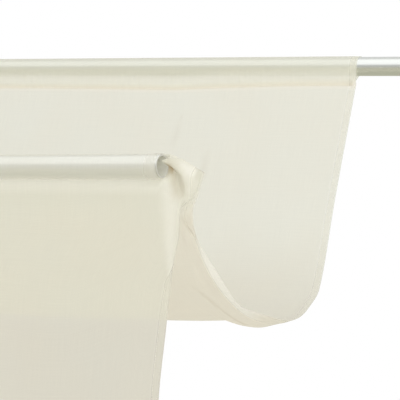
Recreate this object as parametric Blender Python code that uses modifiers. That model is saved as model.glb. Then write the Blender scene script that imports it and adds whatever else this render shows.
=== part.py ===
# Sheer curtain panel: one long width of voile on two aluminium tubes.
# The top is folded over into a pocket round the back tube. From there the cloth
# hangs in one deep swag, rises behind the front tube, folds over it and falls free.
# Metres, +Z up, +X to the right along the tubes, +Y away from the viewer.
# The origin is the middle of the back tube's axis.

import math

import bmesh
import bpy
from mathutils import Vector

MM = 0.001

# Tubes
TUBE_RADIUS = 0.0125
TUBE_WALL = 0.0015
TUBE_SIDES = 48
BACK_TUBE_HALF_LENGTH = 0.620
FRONT_TUBE_LEFT = -0.620
FRONT_TUBE_RIGHT = 0.470
FRONT_TUBE_AHEAD = 0.451
FRONT_TUBE_DROP = 0.124
FRONT_TUBE_TILT = math.radians(2.0)

# Cloth
PANEL_WIDTH = 1.000
CLOTH_THICKNESS = 0.001
CLOTH_CLEARANCE = 0.0005
LAYER_PITCH = 0.0016
COLUMN_WIDTH = 0.036
END_BLEND_COLUMNS = 4
END_FOLD_REACH = 0.120
CLOTH_ROUND_TUBE = TUBE_RADIUS + CLOTH_CLEARANCE + CLOTH_THICKNESS / 2

# Pocket round the back tube: the seam lies this far below the tube's axis,
# at these places along X
POCKET_LEAN = math.radians(28.0)
POCKET_HEM = 0.004
POCKET_SKEW = 0.008
POCKET_ARC_STEPS = 11
SEAM_STEPS = 2
SEAM_PLACES = (-0.500, 0.000, 0.230, 0.320, 0.410, 0.500)
SEAM_DROPS = (0.0340, 0.0335, 0.0350, 0.0310, 0.0280, 0.0275)

# Swag: how much lower it hangs towards the left end
SAG = 0.050
SAG_REACH = 0.500
SAG_START = 0.470

# Free fall: soft upright folds that deepen towards the hem
FALL_FOLD_DEPTH = 0.010
FALL_FOLD_WIDTH = 0.155
FALL_FOLD_START = -0.200
FALL_FOLD_ROW = "fall_top"
FALL_HEM_HEIGHT = -0.715
FALL_DRAW_IN = 0.8

# Casing: the strip that holds the front tube against the panel
CASING_LEFT = -0.486
CASING_RIGHT = 0.468
CASING_START = math.radians(61.0)
CASING_END = math.radians(256.0)
CASING_ARC_STEPS = 12
CASING_SEAM_AHEAD = 0.0003
CASING_SEAM_DROP = 0.0180
CASING_COLUMNS = 22

# The panel's line from the seam to the hem, a row for each bend, in millimetres.
# y, z: where the plain cloth lies at X = 470 mm; in rows on the front tube, from its axis
# sag: share of the swag's sag; tube: 1 where the row follows the front tube
# slide: how far the row is drawn along X at the right edge
# strip: width of the strip along the right edge that the end folds turn
# blend: width over which these folds run out; steps: rows of faces up to the next bend
HANG_COLUMNS = ("name", "y", "z", "sag", "tube", "slide", "strip", "blend", "steps")
HANG_ROWS = (
    ("back_high", -39, -82, 0.10, 0, 0, 30, 90, 2),
    ("back_middle", -81, -181, 0.45, 0, 0, 30, 90, 2),
    ("back_low", -122, -280, 0.90, 0, 0, 30, 90, 2),
    ("back_bend", -149, -302, 1.00, 0, 0, 30, 90, 1),
    ("swag_back", -176, -312, 1.00, 0, 0, 30, 60, 2),
    ("swag_bottom", -205, -314, 1.00, 0, 0, 30, 45, 2),
    ("swag_front", -237, -309, 1.00, 0, 0, 30, 45, 2),
    ("rise_foot", -277, -296, 0.95, 0, 0, 30, 45, 2),
    ("rise_low", -316, -280, 0.85, 0, 0, 30, 45, 2),
    ("rise_middle", -355, -258, 0.70, 0, 0, 30, 45, 2),
    ("rise_high", -389, -232, 0.50, 0, 0, 30, 60, 2),
    ("rise_neck", -413, -200, 0.25, 0, 4, 30, 60, 2),
    ("rise_top", 18.0, -60.0, 0, 1, 8, 30, 40, 2),
    ("rise_tube", 14.8, -26.0, 0, 1, 12, 28, 12, 2),
    ("rise_rear", 15.4, -2.5, 0, 1, 12, 28, 12, 1),
    ("rise_shoulder", 14.6, 5.8, 0, 1, 12, 28, 12, 1),
    ("rise_ridge", 10.4, 11.6, 0, 1, 12, 28, 12, 1),
    ("ridge_top", 8.7, 12.1, 0, 1, 12, 28, 12, 1),
    ("fall_ridge", 9.2, 10.3, 0, 1, 12, 28, 12, 1),
    ("fall_shoulder", 12.9, 5.0, 0, 1, 12, 28, 12, 1),
    ("fall_rear", 13.5, -2.8, 0, 1, 12, 28, 12, 1),
    ("fall_under", 9.8, -11.2, 0, 1, 12, 28, 12, 1),
    ("fall_seam", 1.2, -18.0, 0, 1, 13, 26, 20, 1),
    ("fall_top", 0.5, -51.0, 0, 1, 14, 24, 40, 2),
    ("fall_high", 0.0, -77.0, 0, 1, 10, 20, 40, 2),
    ("fall_fold", 0.0, -99.0, 0, 1, -4, 11, 40, 1),
    ("fall_turn", 0.0, -124.0, 0, 1, -19, 3, 40, 1),
    ("fall_open", -1.0, -166.0, 0, 1, -25, 3, 40, 2),
    ("fall_middle", -3.0, -249.0, 0, 1, -35, 3, 40, 3),
    ("fall_low", -6.0, -400.0, 0, 1, -44, 3, 40, 3),
)

# The right end of the panel, where the cloth reaches past the front tube and droops:
# a row for each bend that leaves the plain line, with x, y, z in millimetres of the
# cloth's edge, of its hem line, of the fold between, and of the crest beside it
END_COLUMNS = ("edge", "hem", "between", "crest")
STRIP_SPANS = len(END_COLUMNS) - 1
END_ROWS = {
    "back_bend": ((500, -151, -299), (490, -151, -301), (480, -150, -303), (470, -149, -303)),
    "swag_back": ((500, -178, -308), (490, -178, -312), (480, -177, -315), (470, -176, -316)),
    "swag_bottom": ((500, -211, -308), (490, -211, -313), (480, -208, -318), (470, -205, -320)),
    "swag_front": ((500, -250, -298), (490, -251, -306), (480, -245, -313), (470, -237, -316)),
    "rise_foot": ((500, -294, -284), (490, -295, -290), (480, -286, -298), (470, -276, -303)),
    "rise_low": ((500, -336, -269), (490, -335, -272), (480, -326, -279), (470, -315, -285)),
    "rise_middle": ((500, -373, -238), (490, -371, -243), (480, -363, -252), (470, -354, -261)),
    "rise_high": ((500, -404, -210), (491, -401, -214), (482, -395, -223), (473, -390, -232)),
    "rise_neck": ((500, -431, -182), (492, -428, -184), (483, -421, -191), (474, -415, -198)),
    "rise_top": ((501, -440, -156), (493, -438, -158), (485, -435, -161), (478, -433, -165)),
    "rise_tube": ((501, -428, -137), (494, -429, -136), (488, -431, -134), (482, -433, -132)),
    "rise_rear": ((502, -423, -125), (495, -426, -121), (489, -429, -117), (483, -432, -112)),
    "rise_shoulder": ((503, -421, -120), (496, -425, -116), (490, -429, -112), (484, -432, -107)),
    "rise_ridge": ((503, -419, -115), (496, -424, -110), (490, -429, -106), (484, -433, -102)),
    "ridge_top": ((503, -420, -114), (496, -425, -109), (490, -430, -105), (484, -434, -101)),
    "fall_ridge": ((503, -421, -115), (496, -426, -110), (490, -431, -106), (484, -435, -102)),
    "fall_shoulder": ((502, -424, -121), (494, -428, -116), (487, -433, -112), (481, -438, -107)),
    "fall_rear": ((501, -427, -128), (493, -431, -124), (486, -436, -120), (481, -442, -114)),
    "fall_under": ((499, -431, -136), (490, -434, -135), (484, -439, -133), (482, -448, -127)),
    "fall_seam": ((493, -436, -147), (488, -439, -147), (486, -443, -146), (489, -451, -144)),
    "fall_top": ((479, -444, -166), (484, -445, -163), (488, -447, -161), (492, -452, -158)),
    "fall_high": ((472, -447, -188), (478, -447, -187), (484, -448, -186), (490, -452, -185)),
    "fall_fold": ((475, -448, -210), (478, -448, -209), (481, -449, -208), (485, -452, -207)),
    "fall_turn": ((480, -451, -232), (479, -451, -232), (479, -451, -232), (478, -451, -232)),
}

ALUMINIUM = ("satin_aluminium", (0.80, 0.81, 0.79), 0.32, 1.0)
VOILE = ("cream_voile", (0.83, 0.80, 0.70), 0.85, 0.0)


def clear_scene():
    for thing in list(bpy.data.objects):
        bpy.data.objects.remove(thing, do_unlink=True)


def make_material(name, colour, roughness, metallic):
    material = bpy.data.materials.new(name)
    material.use_nodes = True
    shader = material.node_tree.nodes["Principled BSDF"]
    shader.inputs["Base Color"].default_value = (*colour, 1.0)
    shader.inputs["Roughness"].default_value = roughness
    shader.inputs["Metallic"].default_value = metallic
    return material


def between(value, places, heights):
    # Straight-line reading of a short table, held level past its ends
    if value <= places[0]:
        return heights[0]
    for (x0, x1), (h0, h1) in zip(zip(places, places[1:]), zip(heights, heights[1:])):
        if value <= x1:
            return h0 + (h1 - h0) * (value - x0) / (x1 - x0)
    return heights[-1]


def ease(share):
    # 0 to 1 with a level start and end
    share = min(max(share, 0.0), 1.0)
    return share * share * (3.0 - 2.0 * share)


def front_axis_height(x):
    return -FRONT_TUBE_DROP + x * math.tan(FRONT_TUBE_TILT)


def swag_sag(x):
    return SAG * (1.0 - math.exp(-max(SAG_START - x, 0.0) / SAG_REACH))


def plain_point(row, across):
    # A bend's place on the plain cloth, at this flat distance from the right edge
    draw = 1.0 - FALL_DRAW_IN * across / PANEL_WIDTH if row["slide"] < 0 else 1.0
    x = PANEL_WIDTH / 2 - across + row["slide"] * MM * draw
    if row["tube"]:
        return Vector((x, -FRONT_TUBE_AHEAD + row["y"] * MM, front_axis_height(x) + row["z"] * MM))
    return Vector((x, row["y"] * MM, row["z"] * MM - row["sag"] * swag_sag(x)))


def strip_point(row, share):
    # A bend's place on the strip that the end folds turn, share 0 at the cloth's edge
    corners = [Vector(corner) * MM for corner in END_ROWS[row["name"]]]
    place = share * STRIP_SPANS
    first = min(int(place), STRIP_SPANS - 1)
    return corners[first].lerp(corners[first + 1], place - first)


def bend_point(row, column):
    # A column is ("strip", share of the strip), ("blend", share of the blend)
    # or ("plain", flat distance from the right edge)
    kind, amount = column
    strip = row["strip"] * MM
    blend = row["blend"] * MM
    turned = row["name"] in END_ROWS
    if kind == "strip":
        return strip_point(row, amount) if turned else plain_point(row, strip * amount)
    across = strip + blend * amount if kind == "blend" else amount
    point = plain_point(row, across)
    if turned and kind == "blend":
        offset = strip_point(row, 1.0) - plain_point(row, strip)
        point += offset * (1.0 - ease(amount))
    return point


def smooth_run(points, steps):
    # A rounded line through the points, with the number of steps given for each span
    run = [points[0]]
    count = len(points)
    for index in range(count - 1):
        before = points[max(index - 1, 0)]
        start, end = points[index], points[index + 1]
        after = points[min(index + 2, count - 1)]
        span = (end - start).length
        into = (end - before) * (span / max((end - start).length + (start - before).length, 1e-9))
        out = (after - start) * (span / max((after - end).length + span, 1e-9))
        for step in range(1, steps[index] + 1):
            t = step / steps[index]
            run.append(
                start * (2 * t**3 - 3 * t**2 + 1) + into * (t**3 - 2 * t**2 + t)
                + end * (3 * t**2 - 2 * t**3) + out * (t**3 - t**2)
            )
    return run


def pocket_run(x):
    # From the hem inside the pocket, up behind the back tube, over it and down to the seam
    drop = between(x, SEAM_PLACES, SEAM_DROPS)
    axis = Vector((0.0, -math.sin(POCKET_LEAN), -math.cos(POCKET_LEAN)))
    behind = Vector((0.0, math.cos(POCKET_LEAN), -math.sin(POCKET_LEAN)))
    seam = Vector((x, 0.0, 0.0)) + axis * drop
    half = LAYER_PITCH / 2
    run = [seam + axis * POCKET_HEM + behind * half, seam + behind * half]
    open_angle = math.acos(CLOTH_ROUND_TUBE / drop)
    for step in range(POCKET_ARC_STEPS + 1):
        angle = open_angle + (2 * math.pi - 2 * open_angle) * step / POCKET_ARC_STEPS
        radial = axis * math.cos(angle) + behind * math.sin(angle)
        run.append(Vector((x, 0.0, 0.0)) + radial * CLOTH_ROUND_TUBE)
    run.append(seam - behind * half)
    # The pocket is sewn a little skewed, so its inner layer lies further left
    half_way = len(run) // 2
    for index in range(half_way):
        run[index].x -= POCKET_SKEW * (half_way - index) / half_way
    return run


def fall_fold(point):
    # Depth of the fall's upright folds, which start flat and deepen downwards
    depth = FALL_FOLD_DEPTH * ease((FALL_FOLD_START - point.z) / (FALL_FOLD_START - FALL_HEM_HEIGHT))
    turn = 2 * math.pi * (PANEL_WIDTH / 2 - point.x) / FALL_FOLD_WIDTH
    return depth * (0.75 * math.sin(turn) + 0.35 * math.sin(0.43 * turn + 1.3))


def panel_columns():
    # The strip and the blend beside it, then even columns across to the left edge
    columns = [("strip", step / STRIP_SPANS) for step in range(STRIP_SPANS + 1)]
    columns += [("blend", step / END_BLEND_COLUMNS) for step in range(1, END_BLEND_COLUMNS + 1)]
    rest = PANEL_WIDTH - END_FOLD_REACH
    count = round(rest / COLUMN_WIDTH)
    columns += [("plain", END_FOLD_REACH + rest * step / count) for step in range(1, count + 1)]
    return columns


def panel_run(column):
    # The whole length of the panel at one column, top hem to bottom hem
    rows = [dict(zip(HANG_COLUMNS, row)) for row in HANG_ROWS]
    bends = [bend_point(row, column) for row in rows]
    hem = Vector((bends[-1].x, bends[-1].y, FALL_HEM_HEIGHT))
    pocket = pocket_run(bends[0].x)
    steps = [SEAM_STEPS] + [row["steps"] for row in rows]
    hang = smooth_run([pocket[-1]] + bends + [hem], steps)
    names = [row["name"] for row in rows]
    fall_start = sum(steps[: names.index(FALL_FOLD_ROW) + 1])
    for point in hang[fall_start:]:
        point.y += fall_fold(point)
    return pocket + hang[1:]


def sheet_mesh(name, runs):
    # One face between each four neighbouring points of the runs
    mesh = bpy.data.meshes.new(name)
    shape = bmesh.new()
    grid = [[shape.verts.new(point) for point in run] for run in runs]
    for left, right in zip(grid, grid[1:]):
        for index in range(len(left) - 1):
            shape.faces.new((left[index], left[index + 1], right[index + 1], right[index]))
    bmesh.ops.recalc_face_normals(shape, faces=shape.faces)
    shape.to_mesh(mesh)
    shape.free()
    mesh.shade_smooth()
    return mesh


def add_object(name, mesh, material, collection):
    thing = bpy.data.objects.new(name, mesh)
    mesh.materials.append(material)
    collection.objects.link(thing)
    return thing


def thicken(thing, thickness, offset):
    wall = thing.modifiers.new("cloth or wall thickness", "SOLIDIFY")
    wall.thickness = thickness
    wall.offset = offset


def make_tube(name, left, right, place, tilt, material, collection):
    # An open-ended tube: the side of a cylinder, thickened inwards
    mesh = bpy.data.meshes.new(name)
    shape = bmesh.new()
    bmesh.ops.create_cone(
        shape, cap_ends=False, segments=TUBE_SIDES,
        radius1=TUBE_RADIUS, radius2=TUBE_RADIUS, depth=right - left,
    )
    shape.to_mesh(mesh)
    shape.free()
    mesh.shade_smooth()
    tube = add_object(name, mesh, material, collection)
    thicken(tube, TUBE_WALL, -1.0)
    middle = (left + right) / 2
    tube.location = Vector(place) + Vector((middle, 0.0, middle * math.tan(tilt)))
    tube.rotation_euler = (0.0, math.pi / 2 - tilt, 0.0)
    return tube


def make_panel(material, collection):
    runs = [panel_run(column) for column in panel_columns()]
    panel = add_object("panel", sheet_mesh("panel", runs), material, collection)
    thicken(panel, CLOTH_THICKNESS, 0.0)
    return panel


def casing_run(x):
    # From just in front of the panel's ridge, over the tube's front and under it
    centre = Vector((x, -FRONT_TUBE_AHEAD, front_axis_height(x)))
    run = []
    for step in range(CASING_ARC_STEPS + 1):
        angle = CASING_START + (CASING_END - CASING_START) * step / CASING_ARC_STEPS
        radial = Vector((0.0, math.cos(angle), math.sin(angle)))
        run.append(centre + radial * CLOTH_ROUND_TUBE)
    run.append(centre + Vector((0.0, -CASING_SEAM_AHEAD, -CASING_SEAM_DROP)))
    return run


def make_casing(material, collection):
    width = CASING_RIGHT - CASING_LEFT
    runs = [
        casing_run(CASING_LEFT + width * step / CASING_COLUMNS)
        for step in range(CASING_COLUMNS + 1)
    ]
    casing = add_object("front_casing", sheet_mesh("front_casing", runs), material, collection)
    thicken(casing, CLOTH_THICKNESS, 0.0)
    return casing


def main():
    clear_scene()
    collection = bpy.data.collections.new("sheer_curtain_panel")
    bpy.context.scene.collection.children.link(collection)
    aluminium = make_material(*ALUMINIUM)
    voile = make_material(*VOILE)
    make_tube(
        "back_tube", -BACK_TUBE_HALF_LENGTH, BACK_TUBE_HALF_LENGTH,
        (0.0, 0.0, 0.0), 0.0, aluminium, collection,
    )
    make_tube(
        "front_tube", FRONT_TUBE_LEFT, FRONT_TUBE_RIGHT,
        (0.0, -FRONT_TUBE_AHEAD, -FRONT_TUBE_DROP), FRONT_TUBE_TILT, aluminium, collection,
    )
    make_panel(voile, collection)
    make_casing(voile, collection)


main()
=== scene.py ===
import math
from functools import partial

import bpy
import numpy as np
from mathutils import Matrix, Vector


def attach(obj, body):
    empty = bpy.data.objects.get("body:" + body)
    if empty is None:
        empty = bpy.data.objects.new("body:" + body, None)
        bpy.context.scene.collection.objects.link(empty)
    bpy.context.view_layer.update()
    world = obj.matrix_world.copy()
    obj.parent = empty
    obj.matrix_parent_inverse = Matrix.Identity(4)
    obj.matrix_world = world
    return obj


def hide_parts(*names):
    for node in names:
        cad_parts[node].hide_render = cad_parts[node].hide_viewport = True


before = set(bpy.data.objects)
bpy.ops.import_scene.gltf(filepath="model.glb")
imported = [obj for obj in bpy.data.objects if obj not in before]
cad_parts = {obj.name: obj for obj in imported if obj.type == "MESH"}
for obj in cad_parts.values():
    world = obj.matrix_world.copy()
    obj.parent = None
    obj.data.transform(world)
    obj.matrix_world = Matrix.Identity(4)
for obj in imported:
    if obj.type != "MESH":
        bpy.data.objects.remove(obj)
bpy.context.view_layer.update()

# Sheer curtain panel on two aluminium tubes. Metres, +Z up, the back tube's middle at the origin.
# The cloth lies on the folds of its CAD solid, with its creases, gathers, hems and stitches added.

mm = 0.001


def hexColour(code):
    # sRGB hex to linear, as the shaders want it
    parts = [int(code[i:i + 2], 16) / 255 for i in (0, 2, 4)]
    linear = [c / 12.92 if c <= 0.04045 else ((c + 0.055) / 1.055) ** 2.4 for c in parts]
    return (*linear, 1.0)


def addNode(tree, kind, inputs=None, **settings):
    # One node with its settings and links; the kind of a shader node is given without ShaderNode.
    # An input is a value, a hex colour, a node's output, or a node, for its first output in use.
    node = tree.nodes.new(kind if "Node" in kind else "ShaderNode" + kind)
    for name, value in settings.items():
        setattr(node, name, value)
    for key, value in (inputs or {}).items():
        if isinstance(value, bpy.types.Node):
            value = next(socket for socket in value.outputs if socket.enabled)
        if isinstance(value, bpy.types.NodeSocket):
            tree.links.new(value, node.inputs[key])
        else:
            node.inputs[key].default_value = hexColour(value) if isinstance(value, str) else value
    return node


def newMaterial(name):
    material = bpy.data.materials.new(name)
    material.use_nodes = True
    material.node_tree.nodes.clear()
    return material, partial(addNode, material.node_tree)


def newObject(name, content, material=None):
    # content is a mesh, a lamp or a camera
    thing = bpy.data.objects.new(name, content)
    if material:
        content.materials.append(material)
    bpy.context.scene.collection.objects.link(thing)
    return thing


# Camera and studio
cameraSettings = {
    "eye": (1.234, -1.695, -0.013),  # metres
    "yaw": 30.0, "pitch": -5.10,     # degrees
    "lens": 124.65, "sensor": 36.0,  # mm
}
studioSettings = {
    "backdrop": "ffffff",            # what the camera sees past the object
    # What it sees through the voile's open weave: the backdrop, and duller light from below it.
    # Heights here and in mirrorFrom and warmFrom are those of a ray's direction, from -1 to 1.
    "throughHigh": "f0f1f0", "throughLow": "cbc3bd", "throughFrom": (-0.185, -0.105),
    "skyLow": 0.85, "skyHigh": 0.83, "skyLowColour": "fffaf3",  # soft light from below and above
    "mirrorLow": 0.58, "mirrorHigh": 0.80, "mirrorLowColour": "f8f6df",  # the same in the metal
    "mirrorFrom": (0.0, 0.8), "warmFrom": (-0.45, 0.12),
    # A long soft lamp overhead, for the shine on the tubes alone
    "lampPlace": (-0.5, -0.935, 0.68), "lampSize": (3.2, 1.93),  # metres
    "lampPower": 8.4, "lampColour": (0.97, 0.975, 1.0),
    # A soft key lamp in front
    "keyPlace": (2.4, -2.3, 1.9), "keyAim": (0.1, -0.25, -0.3), "keySize": 1.6, "keyPower": 25.0,
    "floorHeight": -2.2, "floorRadius": 5.0, "floorSides": 96,
    "floorColour": "f2f1ed", "floorFade": (0.30, 0.97),  # shares of the radius
}


def addCamera():
    s = cameraSettings
    lens = bpy.data.cameras.new("camera")
    lens.lens, lens.sensor_width = s["lens"], s["sensor"]
    camera = newObject("camera", lens)
    camera.location = s["eye"]
    camera.rotation_euler = (math.radians(90 + s["pitch"]), 0, math.radians(s["yaw"]))
    bpy.context.scene.camera = camera


def seenColour(add, low):
    # The backdrop to the eye, and low where the eye looks through the voile
    path = add("LightPath")
    through = add("Math", {0: path.outputs["Transparent Depth"], 1: 0.5}, operation="GREATER_THAN")
    return add("Mix", {0: through, 6: studioSettings["backdrop"], 7: low}, data_type="RGBA")


def addWorld():
    # A white backdrop for the camera. All other light is an even glow, warmer from below,
    # and the metal mirrors it duller and yellower there than above.
    s, scene = studioSettings, bpy.context.scene
    scene.view_settings.view_transform, scene.view_settings.look = "Standard", "None"
    world = bpy.data.worlds.new("soft studio")
    scene.world = world
    world.use_nodes = True
    world.node_tree.nodes.clear()
    add = partial(addNode, world.node_tree)
    place = add("TexCoord")
    split = add("SeparateXYZ", {0: place.outputs["Generated"]})
    # What changes as a ray's direction rises: where it starts and ends, from which value to which
    climbs = (
        (*s["throughFrom"], 0.0, 1.0, "SMOOTHSTEP"),
        (*s["warmFrom"], 0.0, 1.0, "LINEAR"),
        (-1.0, 1.0, s["skyLow"], s["skyHigh"], "LINEAR"),
        (*s["mirrorFrom"], s["mirrorLow"], s["mirrorHigh"], "SMOOTHSTEP"),
    )
    height, up, glow, shine = (
        add("MapRange", {
            "Value": split.outputs["Z"], "From Min": start, "From Max": end, "To Min": low, "To Max": high,
        }, interpolation_type=way)
        for start, end, low, high, way in climbs
    )
    through = add("Mix", {0: height, 6: s["throughLow"], 7: s["throughHigh"]}, data_type="RGBA")
    daylight, mirrored = (
        add("Mix", {0: up, 6: s[colour], 7: "ffffff"}, data_type="RGBA")
        for colour in ("skyLowColour", "mirrorLowColour")
    )
    path = add("LightPath")
    inMetal = path.outputs["Is Glossy Ray"]
    hue = add("Mix", {0: inMetal, 6: daylight, 7: mirrored}, data_type="RGBA")
    strength = add("Mix", {0: inMetal, 2: glow, 3: shine}, data_type="FLOAT")
    lit = add("Background", {"Color": hue, "Strength": strength})
    backdrop = add("Background", {"Color": seenColour(add, through)})
    both = add("MixShader", {0: path.outputs["Is Camera Ray"], 1: lit, 2: backdrop})
    add("OutputWorld", {"Surface": both})


def addLamps():
    s = studioSettings
    disk = bpy.data.lights.new("key", "AREA")
    disk.shape, disk.size, disk.energy = "DISK", s["keySize"], s["keyPower"]
    key = newObject("key", disk)
    key.location = s["keyPlace"]
    key.rotation_euler = (Vector(s["keyAim"]) - Vector(s["keyPlace"])).to_track_quat("-Z", "Y").to_euler()

    strip = bpy.data.lights.new("strip", "AREA")
    strip.shape, strip.size, strip.size_y = "RECTANGLE", *s["lampSize"]
    strip.energy, strip.color = s["lampPower"], s["lampColour"]
    lamp = newObject("strip", strip)
    lamp.location = s["lampPlace"]
    lamp.visible_camera, lamp.visible_diffuse = False, False


def addFloor():
    # Pale floor that fades into the backdrop, also where it is seen through the cloth
    s = studioSettings
    material, add = newMaterial("paleFloor")
    place = add("TexCoord")
    reach = add("VectorMath", {0: place.outputs["Object"]}, operation="LENGTH")
    near, far = (share * s["floorRadius"] for share in s["floorFade"])
    fade = add("MapRange", {"Value": reach, "From Min": near, "From Max": far},
               interpolation_type="SMOOTHSTEP")
    matt = add("BsdfDiffuse", {"Color": s["floorColour"]})
    white = add("Emission", {"Color": seenColour(add, s["throughLow"]), "Strength": 1.0})
    mixed = add("MixShader", {0: fade, 1: matt, 2: white})
    add("OutputMaterial", {"Surface": mixed})
    sides, radius = s["floorSides"], s["floorRadius"]
    turns = [math.tau * i / sides for i in range(sides)]
    mesh = bpy.data.meshes.new("floor")
    mesh.from_pydata([(radius * math.cos(turn), radius * math.sin(turn), 0.0) for turn in turns],
                     [], [tuple(range(sides))])
    floor = newObject("floor", mesh, material)
    floor.location.z = s["floorHeight"]
    floor.visible_glossy = False


# Materials
voileSettings = {
    "colour": "e8e7d6", "warmer": "eae1ca", "warmerShare": 0.20, "warmerFrom": (0.3, 0.7),
    "hemColour": "fffdf1",       # where hems and folds lay more threads behind one another, and painted light where cloth catches light
    "doubledAndPaintedGlowColour": "fbf0db",   # the pocket's turned-in edge, and painted light on the rising cloth
    "paintedShadeColour": "9c7f42",    # painted shade in the depth of a fold
    "cover": 0.70,               # share of the cloth that its threads fill
    "lightCover": 0.20,          # the same for soft light, which spun threads also pass on
    "throughLight": 0.14,        # share of the light that the threads pass on
    "layerThinning": 0.50,       # how much less a hem's layers, or cloth stretched round a tube, fill
    "layersFrom": (0.96, 0.985),  # the hem's mark, which is 1 at its inner line and 2 at the edge
    "weaveShare": 0.016, "slubShare": 0.045, "patchShare": 0.05,  # how much each changes the cover
    "casingCover": 0.52, "casingColour": "efede0",  # the strip is stretched: its threads lie apart
    "threadSpacing": 1.7,        # mm; real voile has about 0.4 mm, drawn coarser so that the weave shows
    "threadWander": {"Distortion": 1.2, "Detail": 2.0, "Detail Scale": 0.6},
    "slubLength": 38.0, "slubWidth": 1.3,  # mm
    "patchSize": 111.11,         # mm
    "relief": 0.12, "reliefDepth": 0.2,  # mm
    "surface": {"Roughness": 0.85, "Specular IOR Level": 0.0, "Sheen Weight": 0.04, "Sheen Roughness": 0.6},
}


def makeVoile(name, cover, colour):
    # Plain-woven voile: thin even threads with gaps between them, so it is matt,
    # lets what is behind it through and glows where light falls on its far side
    s = voileSettings
    material, add = newMaterial(name)
    flat = add("UVMap", uv_map="flatCloth")
    # A wave of the wave texture repeats every 2 pi / (20 x its scale)
    scale = math.tau / (20 * s["threadSpacing"] * mm)
    threads = []
    for turn in (0.0, math.pi / 2):
        way = add("Mapping", {"Vector": flat, "Rotation": (0, 0, turn)})
        wave = add("TexWave", {"Vector": way, "Scale": scale, **s["threadWander"]}, wave_profile="SIN")
        threads.append(wave.outputs["Fac"])
    weave = add("Math", dict(enumerate(threads)), operation="ADD")
    # Slubs: places where a thread runs a little thicker, longer down the cloth than across it
    width, length = s["slubWidth"] * mm, s["slubLength"] * mm
    runs = []
    for stretch in ((1 / width, 1 / length, 1.0), (0.6 / length, 1 / width, 1.0)):
        way = add("Mapping", {"Vector": flat, "Scale": stretch})
        runs.append(add("TexNoise", {"Vector": way, "Scale": 1.0, "Detail": 2.0}))
    slubs = add("Math", dict(enumerate(runs)), operation="ADD")
    # Slow change in how close the threads lie, and in the dye
    patches = add("TexNoise", {"Vector": flat, "Scale": 1 / (s["patchSize"] * mm), "Detail": 2.0})
    filled = cover - s["weaveShare"] - s["slubShare"] - s["patchShare"] / 2
    for source, share in ((weave, "weaveShare"), (slubs, "slubShare"), (patches, "patchShare")):
        filled = add("Math", {0: source, 1: s[share], 2: filled}, operation="MULTIPLY_ADD")
    filled.use_clamp = True
    low, high = s["warmerFrom"]
    tint = add("MapRange", {"Value": patches, "From Min": low, "From Max": high, "To Max": s["warmerShare"]})
    tone = add("Mix", {0: tint, 6: colour, 7: s["warmer"]}, data_type="RGBA")
    # Layers behind one another look whiter or warmer; the same marks carry painted light on lit places
    # and on the rising cloth, and painted shade that makes deep folds warmer and darker
    marks = {key: add("Attribute", attribute_name=key).outputs["Fac"]
             for key in ("hem", "doubledAndPaintedGlow", "paintedShade", "layered", "stretched")}
    for key in ("hem", "doubledAndPaintedGlow", "paintedShade"):
        tone = add("Mix", {0: marks[key], 6: tone, 7: s[key + "Colour"]}, data_type="RGBA")
    relief = add("Math", {0: weave, 1: slubs}, operation="ADD")
    bump = add("Bump", {"Height": relief, "Strength": s["relief"], "Distance": s["reliefDepth"] * mm})
    cloth = add("BsdfPrincipled", {"Base Color": tone, "Normal": bump, **s["surface"]})
    glow = add("BsdfTranslucent", {"Color": tone, "Normal": bump})
    lit = add("MixShader", {0: s["throughLight"], 1: cloth, 2: glow})
    # A hem's layers lie thread on thread, so together they fill less than they would apart,
    # and round a tube the threads are drawn apart
    low, high = s["layersFrom"]
    onHem = add("MapRange", {"Value": marks["layered"], "From Min": low, "From Max": high})
    apart = add("Math", {0: onHem, 1: marks["stretched"]}, operation="MAXIMUM")
    thinner = add("Math", {0: apart, 1: -s["layerThinning"], 2: 1.0}, operation="MULTIPLY_ADD")
    shown = add("Math", {0: filled, 1: thinner}, operation="MULTIPLY")
    # Light that isn't looked at directly passes more freely
    path = add("LightPath")
    isLight = path.outputs["Is Shadow Ray"]
    for ray in ("Is Diffuse Ray", "Is Glossy Ray"):
        isLight = add("Math", {0: isLight, 1: path.outputs[ray]}, operation="MAXIMUM")
    kept = add("Math", {0: isLight, 1: s["lightCover"] / cover - 1.0, 2: 1.0}, operation="MULTIPLY_ADD")
    stops = add("Math", {0: shown, 1: kept}, operation="MULTIPLY")
    both = add("MixShader", {0: stops, 1: add("BsdfTransparent"), 2: lit})
    add("OutputMaterial", {"Surface": both})
    return material


tubeSettings = {
    "radius": 12.5, "wall": 1.5, "rim": 0.35,      # mm
    "backHalfLength": 0.620, "frontLeft": -0.620, "frontRight": 0.470,  # metres
    "frontAhead": 0.451, "frontDrop": 0.124,       # metres
    "frontTilt": 2.0, "sharpFrom": 50.0,           # degrees
    "sides": 96, "rimSteps": 4, "rings": (0.93, 0.8, 0.0, -0.8, -0.93),  # shares of the half length
}
aluminiumSettings = {
    "colour": "ecefeb", "shade": "e2e4df", "bore": "dddcd0", "cut": "cccbc0",
    "roughness": 0.20, "lineRoughness": 0.04, "patchRoughness": 0.03, "boreRoughness": 0.7,
    "dieLineWidth": 0.9,     # mm; the real lines are finer, drawn coarser so that they show
    "dieLineLength": 260.0, "patchSize": 71.43,    # mm
    "lineRelief": 0.025, "lineDepth": 0.1,         # mm
    "boreReach": 0.2, "cutReach": 0.3,             # mm that the raw metal's look takes in beyond its face
}


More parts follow.
